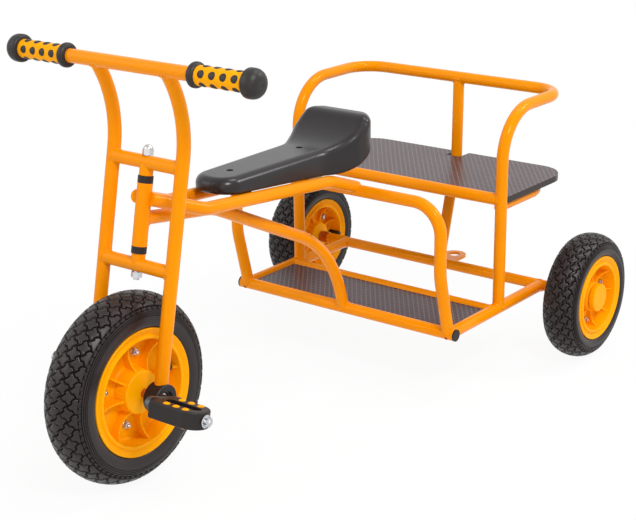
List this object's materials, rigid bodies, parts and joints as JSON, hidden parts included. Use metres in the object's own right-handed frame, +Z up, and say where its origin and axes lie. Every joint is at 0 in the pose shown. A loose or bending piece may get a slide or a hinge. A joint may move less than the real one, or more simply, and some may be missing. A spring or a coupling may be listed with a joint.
{
  "type": "two-seat tricycle",
  "caption": "Child's pedal tricycle in bent steel tube with a saddle, a passenger bench behind it, a low step and pneumatic wheels, pedalled and steered at the front wheel.",
  "frame": {"origin": "on the floor under the middle of the tricycle's length and width", "axes": "+X forward, +Y to the rider's left, +Z up"},
  "size_m": [1.203, 0.745, 0.7025],
  "materials": {
    "orange_paint": "gloss powder coat on steel tube",
    "orange_plastic": "satin moulded plastic",
    "black_plastic": "satin moulded plastic",
    "tyre_rubber": "block-tread rubber",
    "brown_board": "film-faced anti-slip plywood",
    "zinc_steel": "bright zinc",
    "bronze_steel": "yellow passivated steel",
    "dark_steel": "dark forged steel"
  },
  "bodies": {
    "frame": {"deck_front_rail": "orange_paint", "rear_axle_beam": "orange_paint", "rail_plugs": "black_plastic", "deck_side_rail_left": "orange_paint", "deck_side_rail_right": "orange_paint", "deck_rear_bar": "orange_paint", "step_board": "brown_board", "front_hoop": "orange_paint", "back_hoop": "orange_paint", "centre_post": "orange_paint", "bench_front_rail": "orange_paint", "bench_support_loop": "orange_paint", "bench_board": "brown_board", "tow_plate": "orange_paint", "head_tube": "orange_paint", "steering_bushes": "black_plastic", "main_tube": "orange_paint", "saddle_rail_left": "orange_paint", "saddle_rail_right": "orange_paint", "saddle_plates": "orange_paint", "saddle": "black_plastic", "rear_axle_left": "bronze_steel", "rear_axle_right": "bronze_steel"},
    "fork": {"handlebar": "orange_paint", "fork_blade_left": "orange_paint", "fork_blade_right": "orange_paint", "upper_crossbar": "orange_paint", "lower_crossbar": "orange_paint", "steering_bolt": "zinc_steel", "grip_sleeves": "orange_plastic", "grip_ends": "black_plastic", "bearing_housings": "black_plastic", "fork_bearings": "zinc_steel"},
    "front_wheel": {"front_tyre": "tyre_rubber", "front_rim": "orange_plastic", "front_axle": "bronze_steel", "crank_left": "dark_steel", "crank_right": "dark_steel"},
    "left_pedal": {"pedal_left": "black_plastic"},
    "right_pedal": {"pedal_right": "black_plastic"},
    "left_rear_wheel": {"rear_tyre_left": "tyre_rubber", "rear_rim_left": "orange_plastic", "hub_cap_left": "orange_plastic"},
    "right_rear_wheel": {"rear_tyre_right": "tyre_rubber", "rear_rim_right": "orange_plastic", "hub_cap_right": "orange_plastic"}
  },
  "joints": [
    {"name": "steering", "type": "hinge", "parent": "frame", "child": "fork", "pos_m": [0.4415, 0, 0.16], "axis": [-0.1968, 0, 0.9804], "range_deg": [-35, 35]},
    {"name": "front_wheel_spin", "type": "hinge", "parent": "fork", "child": "front_wheel", "pos_m": [0.4415, 0, 0.16], "axis": [0, 1, 0], "continuous": true},
    {"name": "left_pedal_spin", "type": "hinge", "parent": "front_wheel", "child": "left_pedal", "pos_m": [0.49788, 0.17, 0.18052], "axis": [0, 1, 0], "continuous": true},
    {"name": "right_pedal_spin", "type": "hinge", "parent": "front_wheel", "child": "right_pedal", "pos_m": [0.38512, -0.17, 0.13948], "axis": [0, 1, 0], "continuous": true},
    {"name": "left_rear_wheel_spin", "type": "hinge", "parent": "frame", "child": "left_rear_wheel", "pos_m": [-0.4795, 0.337, 0.122], "axis": [0, 1, 0], "continuous": true},
    {"name": "right_rear_wheel_spin", "type": "hinge", "parent": "frame", "child": "right_rear_wheel", "pos_m": [-0.4795, -0.337, 0.122], "axis": [0, 1, 0], "continuous": true}
  ]
}
